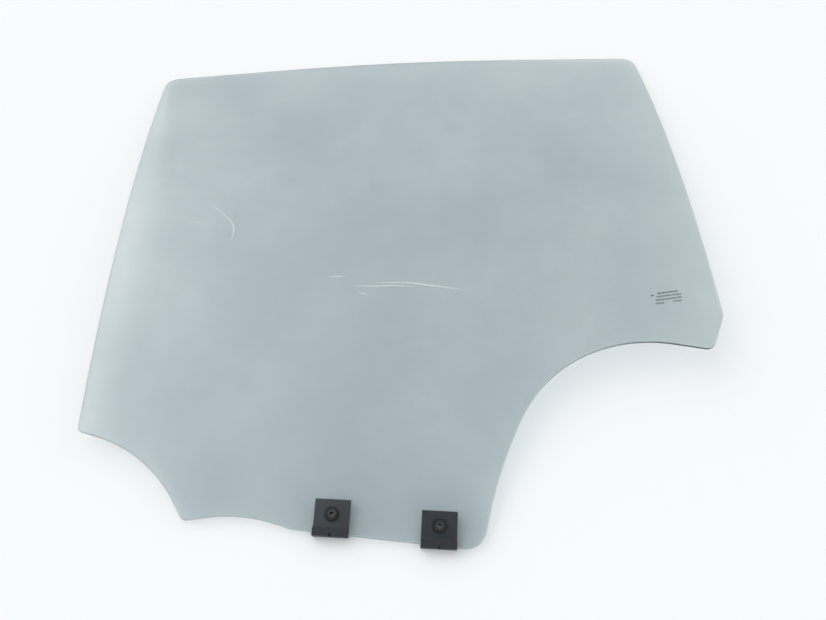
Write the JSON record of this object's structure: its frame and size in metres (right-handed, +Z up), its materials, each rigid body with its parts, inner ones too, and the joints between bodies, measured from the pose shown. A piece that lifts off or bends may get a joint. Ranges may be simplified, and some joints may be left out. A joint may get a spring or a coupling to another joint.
{
  "type": "door window glass",
  "caption": "Curved tempered drop glass of a rear side door, cut out for the wheel arch, with moulded lift holders clipped on its bottom edge.",
  "frame": {"origin": "middle of the part's footprint, on the surface it lies on", "axes": "+X towards the rear edge, +Y from the bottom edge with the holders to the top edge, +Z up, out of the crowned outer face"},
  "size_m": [0.5836, 0.629, 0.0426],
  "materials": {
    "tinted_glass": "clear tempered glass with a light blue-green tint and ground edges",
    "holder_moulding": "black moulded plastic, satin",
    "bush_moulding": "black moulded plastic, slightly worn"
  },
  "bodies": {
    "root": {"door_glass": "tinted_glass", "front_holder": "holder_moulding", "rear_holder": "holder_moulding", "front_bush": "bush_moulding", "rear_bush": "bush_moulding"}
  },
  "joints": []
}
